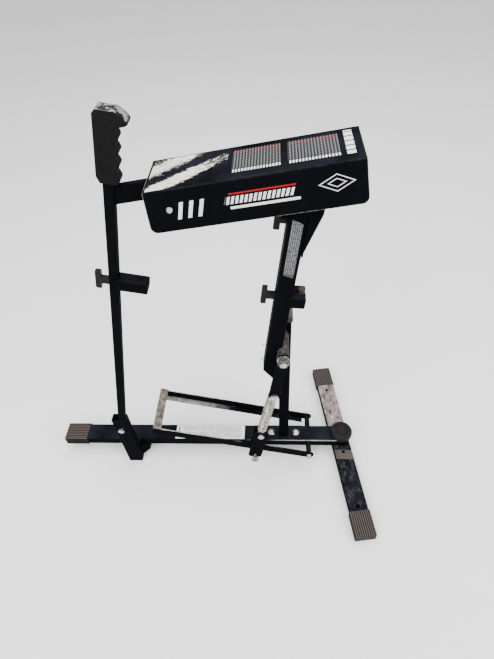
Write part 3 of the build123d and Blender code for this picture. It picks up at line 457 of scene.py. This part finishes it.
def cap_rubber(name, across=None):
    """Rubber cap, lighter on top from dust and painted light from above, with grooves darkened by painted
    shade where across gives the direction over its ribs.
    """
    net = Net(name)
    cloud = net.noise(35, 8, 0.75)
    color = net.mix(cloud, *CAP)
    # Dust and painted light from above on upward faces.
    color = net.mix(net.scaled(net.facing(0.4, 0.9), 0.35), color, CAP_DUST_AND_TOP_LIGHT)
    if across is not None:
        ribs = net.math("DIVIDE", net.along(across, CAP_CENTRE), CAP_RIB_PITCH)
        groove = net.away(net.math("FRACT", net.math("ADD", ribs, 0.5)), 0.5)
        # Painted shade darkens the grooves between the ribs.
        color = net.mix(net.ramp(groove, 0.30, 0.16), color, CAP_GROOVE_SHADE)
    return net.finish(color, net.roughness(cloud, 0.72, 0.9), metal=0.0, bump=net.noise(500, 7, 0.8),
                      strength=0.35, distance=0.0006, ior=1.2)


def plastic():
    """Knobs, bushings and ball cup: black plastic, a little grey along its edges."""
    net = Net("moulded_black_plastic")
    cloud = net.noise(90, 7, 0.7)
    wear = net.both(net.edges(PLASTIC_EDGE_RADIUS), net.ramp(cloud, 0.5, 0.65), 0.7)
    color = net.mix(wear, net.mix(cloud, *PLASTIC), PLASTIC_EDGE)
    return net.finish(color, net.roughness(cloud, 0.38, 0.56), metal=0.0, bump=net.noise(700, 5),
                      strength=0.18, distance=0.0003, ior=1.10)


# ---------------------------------------------------------------- the hood's print, in metres
# From the hood's near rear top corner, u runs forward along it, v up its side and w across its top.
SKIN = 0.0006
RIM_RADIUS = 0.0018
SPLASH_ALONG = (0.004, 0.142)
SPLASH_ACROSS = (0.004, 0.110)
SPLASH_SLANT = 0.62
SPLASH_FADE_ALONG = (0.075, 0.150)
WASH_MIDDLE = 0.068
WASH_FADE = (0.010, 0.044)
SWIPE_MIDDLE = -0.004
SWIPE_FADE = (0.012, 0.030)
CHARTS_ALONG = ((0.150, 0.232), (0.244, 0.328))
CHART_NEAR, CHART_FAR = 0.034, 0.098
CHART_COLUMNS = 16
CHART_ROWS = 11
KEYS_NEAR, KEYS_FAR = CHART_NEAR - 0.0115, CHART_NEAR - 0.003
HEADER_NEAR, HEADER_FAR = CHART_FAR - 0.0100, CHART_FAR - 0.0072
END_BARS_ALONG = (0.338, 0.352)
END_BARS_ACROSS = (0.022, 0.104)
END_BARS_PER_METRE = 62.0
SIDE_SLANT = -0.35
BLOCK_ALONG = (0.0585, 0.112)
BLOCK_UP = (-0.058, -0.026)
BLOCKS_PER_METRE = 55.0
RULE_ALONG = (0.140, 0.258)
RULE_UP = (-0.0535, -0.0485)
TICKS_ALONG = (0.146, 0.262)
TICKS_UP = (-0.0440, -0.0300)
TICKS_PER_METRE = 130.0
RED_RULE_ALONG = (0.150, 0.262)
RED_RULE_UP = (-0.0265, -0.0235)
BADGE_ALONG, BADGE_UP = 0.318, -0.034
BADGE_HALF_LENGTH, BADGE_HALF_HEIGHT = 0.030, 0.016
BADGE_OUTER_LINE = (0.90, 1.0)
BADGE_INNER_LINE = (0.42, 0.52)
SPLASH_PALE = ((0.58, 0.54, 0.45), (0.80, 0.78, 0.72))
RIM_WORN = (0.42, 0.40, 0.36)
PRINT_WHITE = (0.74, 0.74, 0.73)
PRINT_RED = (0.33, 0.010, 0.014)


def splash(net, u, w, top):
    """Pale weathered patch at the hood's rear end: two slanting strokes broken up by speckle."""
    slope = net.math("SUBTRACT", w, net.scaled(u, SPLASH_SLANT))
    wash = net.ramp(net.away(slope, WASH_MIDDLE), *WASH_FADE, start=0.155, end=-0.06)
    swipe = net.ramp(net.away(slope, SWIPE_MIDDLE), *SWIPE_FADE, start=0.165, end=-0.08)
    fade = net.ramp(u, *SPLASH_FADE_ALONG, start=0.02, end=-0.11)
    speckle = net.noise(105, 13, 0.90, stretch=(0.8, 1.4, 1))
    level = net.math("ADD", speckle, net.math("ADD", net.math("MAXIMUM", wash, swipe), fade))
    patch = net.both(net.between(u, *SPLASH_ALONG), net.between(w, *SPLASH_ACROSS))
    return net.both(top, net.ramp(level, 0.610, 0.645), patch)


def chart(net, u, w, top, left, right):
    """White and red masks of a chart: grey rules and a near row of white keys, then a red header rule."""
    inside = net.both(top, net.between(u, left, right), net.between(w, CHART_NEAR, CHART_FAR))
    column = net.repeat(net.math("SUBTRACT", u, left), CHART_COLUMNS / (right - left))
    row = net.repeat(net.math("SUBTRACT", w, CHART_NEAR), CHART_ROWS / (CHART_FAR - CHART_NEAR))
    upright_rules = net.scaled(net.above(column, 0.58), 0.13)
    level_rules = net.scaled(net.below(row, 0.36), 0.09)
    rules = net.math("ADD", upright_rules, level_rules)
    key_row = net.both(top, net.between(u, left, right), net.between(w, KEYS_NEAR, KEYS_FAR))
    keys = net.both(key_row, net.above(column, 0.42))
    header = net.both(net.between(w, HEADER_NEAR, HEADER_FAR), net.above(column, 0.25))
    return net.either(net.both(inside, rules), keys), net.both(inside, header)


def side_print(net, u, v, near):
    """White and red masks of the near side: slanted blocks, a rule under slanted ticks, a lozenge badge."""
    slant = net.math("ADD", u, net.scaled(v, SIDE_SLANT))
    stripe = net.above(net.repeat(slant, BLOCKS_PER_METRE), 0.62)
    blocks = net.both(near, net.between(v, *BLOCK_UP), net.between(slant, *BLOCK_ALONG), stripe)
    rule = net.both(near, net.between(v, *RULE_UP), net.between(u, *RULE_ALONG))
    tick = net.above(net.repeat(slant, TICKS_PER_METRE), 0.38)
    ticks = net.both(near, net.between(v, *TICKS_UP), net.between(slant, *TICKS_ALONG), tick)
    red_rule = net.both(near, net.between(v, *RED_RULE_UP), net.between(slant, *RED_RULE_ALONG))
    long = net.math("DIVIDE", net.away(u, BADGE_ALONG), BADGE_HALF_LENGTH)
    high = net.math("DIVIDE", net.away(v, BADGE_UP), BADGE_HALF_HEIGHT)
    lozenge = net.math("ADD", long, high)
    lines = net.either(net.between(lozenge, *BADGE_OUTER_LINE), net.between(lozenge, *BADGE_INNER_LINE))
    return net.either(blocks, rule, ticks, net.both(near, lines)), red_rule


def hood_print():
    """Hood: black paint with a pale weathered splash, two ruled charts and plain slanted bars."""
    net = Net("hood_print")
    color, rough, metal, grain = painted(net, worn=0.5)
    forward, up = leaning(-HOOD_PITCH)
    u = net.along(forward, HOOD_CORNER)
    v = net.along(up, HOOD_CORNER)
    w = net.along(Y, HOOD_CORNER)
    top = net.above(v, -SKIN)
    near = net.both(net.below(w, SKIN), net.below(v, -SKIN))

    rim = net.both(net.edges(RIM_RADIUS), net.ramp(net.noise(38, 7, 0.75), 0.40, 0.56), 0.75)
    charts, headers = zip(*(chart(net, u, w, top, left, right) for left, right in CHARTS_ALONG))
    end_slit = net.above(net.repeat(w, END_BARS_PER_METRE), 0.22)
    end_bars = net.both(top, net.between(u, *END_BARS_ALONG), net.between(w, *END_BARS_ACROSS), end_slit)
    side_white, side_red = side_print(net, u, v, near)
    scuffed = net.ramp(net.noise(160, 9, 0.8), 0.30, 0.42)
    white = net.both(net.either(*charts, side_white, end_bars), scuffed)
    red = net.both(net.either(*headers, side_red), scuffed)

    color = net.mix(rim, color, RIM_WORN)
    color = net.mix(splash(net, u, w, top), color, net.mix(net.noise(30, 5), *SPLASH_PALE))
    color = net.mix(white, color, PRINT_WHITE)
    color = net.mix(red, color, PRINT_RED)
    return net.finish(color, rough, metal, grain, strength=0.08, distance=PAINT_BUMP, ior=PAINT_IOR)


# ---------------------------------------------------------------- labels, in metres
BAR_LABEL_X, BAR_LABEL_Y = -0.122, -0.013
BAR_LABEL_LENGTH = 0.226
BAR_LABEL_WIDTH = 0.050
BAR_LABEL_LINES = 8
ARM_LABEL_UP = 0.235
ARM_LABEL_ACROSS = ARM_ACROSS - 0.010
ARM_LABEL_WIDTH = 0.021
ARM_LABEL_LEFT_TOP = 0.132
ARM_LABEL_RIGHT_TOP = 0.124
ARM_LABEL_RIGHT_BOTTOM = -0.006
ARM_LABEL_INK = (0.004, 0.128)
ARM_LABEL_LINES_PER_METRE = 260.0
LABEL_LIFT = 0.0001
LABEL_THICKNESS = 0.0004
STOCK = ((0.80, 0.80, 0.79), (0.62, 0.62, 0.61))
INK = (0.06, 0.06, 0.07)
LABEL_RED = (0.40, 0.05, 0.06)
BLACK_STOCK = (0.020, 0.020, 0.023)
GREY_INK = (0.30, 0.30, 0.305)


def bar_paper(origin):
    """Main bar's sticker: off-white stock with rows of grey dashes and one red band at its rear end."""
    net = Net("bar_label_paper")
    u = net.scaled(net.along(X, origin), 1 / BAR_LABEL_LENGTH)
    v = net.scaled(net.along(Y, origin), 1 / BAR_LABEL_WIDTH)
    row = net.math("FRACT", net.scaled(v, BAR_LABEL_LINES))
    dash = net.above(net.noise(300, 3, 0.6), 0.45)
    page = net.both(net.between(u, 0.10, 0.95), net.between(v, 0.08, 0.92))
    ink = net.both(net.between(row, 0.22, 0.72), dash, page)
    band = net.both(net.between(u, 0.03, 0.05), net.between(v, 0.1, 0.9))
    stain = net.ramp(net.noise(28, 7, 0.7), 0.45, 0.75)
    color = net.mix(stain, *STOCK)
    color = net.mix(net.scaled(ink, 0.85), color, INK)
    color = net.mix(band, color, LABEL_RED)
    return net.finish(color, net.ramp(stain, 0, 1, start=0.42, end=0.6), metal=0.0, bump=net.noise(600, 4),
                      strength=0.1, distance=0.0001)


def arm_paper(origin):
    """Throwing arm's label: small and black with grey dashes."""
    net = Net("arm_label_paper")
    row = net.repeat(net.along(arm_across, origin), ARM_LABEL_LINES_PER_METRE)
    dash = net.above(net.noise(380, 3, 0.6), 0.50)
    page = net.between(net.along(arm_up, origin), *ARM_LABEL_INK)
    ink = net.both(net.between(row, 0.2, 0.7), dash, page)
    color = net.mix(net.scaled(ink, 0.75), BLACK_STOCK, GREY_INK)
    return net.finish(color, net.ramp(dash, 0, 1, start=0.30, end=0.4), metal=0.0, bump=net.noise(500, 3),
                      strength=0.08, distance=0.0001)


# ---------------------------------------------------------------- a material for every node
slots = {
    "black_paint": powder_coat(), "zinc": zinc(), "rubber": rubber(), "moulded_plastic": plastic(),
    "hood_paint": hood_print(), "grey_cap": cap_rubber("dust_and_top_light_cap_rubber"), "bare_steel": bare_steel(),
    "spring_steel": spring_steel(),
}
skewed = Vector((cos(STABILISER_SKEW), sin(STABILISER_SKEW), 0))
pedal_arm = pedal_coat()
stabiliser_cap = cap_rubber("stabiliser_cap_rubber", across=skewed)
special = {
    "main_bar": bar_coat(), "stabiliser": stabiliser_coat(), "hub_sleeve": sleeve_steel(),
    "pedal_arm_near": pedal_arm, "pedal_arm_far": pedal_arm,
    "stabiliser_cap_near": stabiliser_cap, "stabiliser_cap_far": stabiliser_cap,
    "rear_cap": cap_rubber("rear_cap_rubber", across=Y), "pin_ring": gilded(),
    "clevis_pin": aged_steel("pin_steel", *PIN_STEEL),
    "axle_nuts": aged_steel("aged_nut_steel", *NUT_STEEL),
    "stop_bolt": aged_steel("dark_bolt_steel", *BOLT_STEEL),
}
for part in frame["record"]["subparts"]:
    name = part["node"]
    nodes[name].data.materials.clear()
    nodes[name].data.materials.append(special.get(name, slots[part["material_slot"]]))


# ---------------------------------------------------------------- pieces
def piece(name, points, faces, material, smooth):
    """A mesh piece in the scene, with its material and slot."""
    mesh = bpy.data.meshes.new(name)
    mesh.from_pydata([tuple(point) for point in points], [], faces)
    mesh.update()
    obj = bpy.data.objects.new(name, mesh)
    bpy.context.scene.collection.objects.link(obj)
    mesh.materials.append(material)
    for polygon in mesh.polygons:
        polygon.use_smooth = smooth
    return obj


def coil(name, start, end, turns, node):
    """Close-wound spring wire between two distances down the spring's axis, in place of a CAD node, which
    it hides.
    """
    side = Y.cross(spring_down).normalized()
    steps = turns * STEPS_PER_TURN
    points = []
    for step in range(steps + 1):
        turn = 2 * pi * step / STEPS_PER_TURN
        out = cos(turn) * side + sin(turn) * Y
        centre = crank + (start + (end - start) * step / steps) * spring_down + COIL_RADIUS * out
        for corner in range(WIRE_SIDES):
            angle = 2 * pi * corner / WIRE_SIDES
            points.append(centre + WIRE_RADIUS * (cos(angle) * out + sin(angle) * spring_down))
    faces = []
    for step in range(steps):
        for corner in range(WIRE_SIDES):
            a = step * WIRE_SIDES + corner
            b = step * WIRE_SIDES + (corner + 1) % WIRE_SIDES
            faces.append((a, b, b + WIRE_SIDES, a + WIRE_SIDES))
    faces.append(tuple(reversed(range(WIRE_SIDES))))
    faces.append(tuple(steps * WIRE_SIDES + corner for corner in range(WIRE_SIDES)))
    wire = piece(name, points, faces, slots["spring_steel"], smooth=True)
    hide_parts(node)
    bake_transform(wire)


def sticker(name, outline, out, material, body):
    """Thin label on a face of a body, from its outline and the face's outward direction."""
    count = len(outline)
    points = [point + LABEL_LIFT * out for point in outline]
    points += [point + (LABEL_LIFT + LABEL_THICKNESS) * out for point in outline]
    faces = [tuple(reversed(range(count))), tuple(range(count, 2 * count))]
    for index in range(count):
        after = (index + 1) % count
        faces.append((index, after, count + after, count + index))
    label = piece(name, points, faces, material, smooth=False)
    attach(label, body)


coil("spring_wire_upper", SPRING_START + WIRE_RADIUS, SPRING_SPLIT, UPPER_TURNS,
     "spring_upper_coils")
coil("spring_wire_lower", SPRING_SPLIT, SPRING_END - WIRE_RADIUS, LOWER_TURNS,
     "spring_lower_coils")

bar_corner = Vector((BAR_LABEL_X, BAR_LABEL_Y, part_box("main_bar")[1][2]))
bar_long = BAR_LABEL_LENGTH * X
bar_wide = BAR_LABEL_WIDTH * Y
bar_outline = [bar_corner, bar_corner + bar_long, bar_corner + bar_long + bar_wide, bar_corner + bar_wide]
sticker("bar_label", bar_outline, Z, bar_paper(bar_corner), "frame")

arm_corner = Vector((HUB.x, ARM_NEAR_Y, HUB.z)) + ARM_LABEL_UP * arm_up + ARM_LABEL_ACROSS * arm_across
arm_right = arm_corner + ARM_LABEL_WIDTH * arm_across
arm_outline = [arm_corner, arm_right + ARM_LABEL_RIGHT_BOTTOM * arm_up,
               arm_right + ARM_LABEL_RIGHT_TOP * arm_up, arm_corner + ARM_LABEL_LEFT_TOP * arm_up]
sticker("arm_label", arm_outline, -Y, arm_paper(arm_corner), "arm")

# ---------------------------------------------------------------- floor and light
FLOOR_HALF = 12
FLOOR_GAP = 0.0005
FLOOR_PALE = ((0.86, 0.86, 0.86), (0.90, 0.90, 0.90))


def floor():
    """Plain pale floor."""
    net = Net("pale_floor")
    cloud = net.noise(3, 3)
    color = net.mix(cloud, *FLOOR_PALE)
    net.finish(color, net.roughness(cloud, 0.75, 0.85), metal=0.0, bump=net.noise(40, 4),
               strength=0.05, distance=0.001)
    quarters = ((-1, -1), (1, -1), (1, 1), (-1, 1))
    corners = [(FLOOR_HALF * x, FLOOR_HALF * y, -FLOOR_GAP) for x, y in quarters]
    mesh = bpy.data.meshes.new("floor")
    mesh.from_pydata(corners, [], [(0, 1, 2, 3)])
    obj = bpy.data.objects.new("floor", mesh)
    bpy.context.scene.collection.objects.link(obj)
    mesh.materials.append(net.material)


def area_light(name, place, target, size, power):
    """Square light aimed at a target."""
    light = bpy.data.lights.new(name, "AREA")
    light.shape = "RECTANGLE"
    light.size = size
    light.size_y = size
    light.energy = power
    obj = bpy.data.objects.new(name, light)
    obj.location = place
    obj.rotation_euler = (Vector(target) - Vector(place)).to_track_quat("-Z", "Y").to_euler()
    bpy.context.scene.collection.objects.link(obj)


floor()
area_light("key_light", place=(-1.4, -2.2, 3.2), target=(0, 0, 0.4), size=2.2, power=150)
area_light("fill_light", place=(2.4, -1.2, 2.4), target=(0, 0, 0.5), size=2.4, power=80)
area_light("top_light", place=(0.2, 0.8, 3.6), target=(0, 0, 0.4), size=3.0, power=110)
world = bpy.data.worlds.new("studio")
world.use_nodes = True
world.node_tree.nodes["Background"].inputs["Color"].default_value = (1, 1, 1, 1)
world.node_tree.nodes["Background"].inputs["Strength"].default_value = 1.0
bpy.context.scene.world = world

# ---------------------------------------------------------------- camera
CAMERA_PLACE = Vector((0.20796, -0.79128, 1.41816))
CAMERA_TURN = radians(-5.15)
CAMERA_TILT = radians(46.9)
CAMERA_ROLL = radians(4.04)
FOCAL_LENGTH = 25.70
SENSOR_WIDTH = 36

level = cos(CAMERA_TILT)
ahead = Vector((sin(CAMERA_TURN) * level, cos(CAMERA_TURN) * level, -sin(CAMERA_TILT)))
level_right = Vector((cos(CAMERA_TURN), -sin(CAMERA_TURN), 0))
level_down = ahead.cross(level_right)
right = cos(CAMERA_ROLL) * level_right + sin(CAMERA_ROLL) * level_down
down = cos(CAMERA_ROLL) * level_down - sin(CAMERA_ROLL) * level_right
lens = bpy.data.cameras.new("camera")
lens.sensor_width = SENSOR_WIDTH
lens.sensor_fit = "AUTO"
lens.lens = FOCAL_LENGTH
camera = bpy.data.objects.new("camera", lens)
aim = Matrix((right, -down, -ahead)).transposed().to_4x4()
camera.matrix_world = Matrix.Translation(CAMERA_PLACE) @ aim
bpy.context.scene.collection.objects.link(camera)
bpy.context.scene.camera = camera
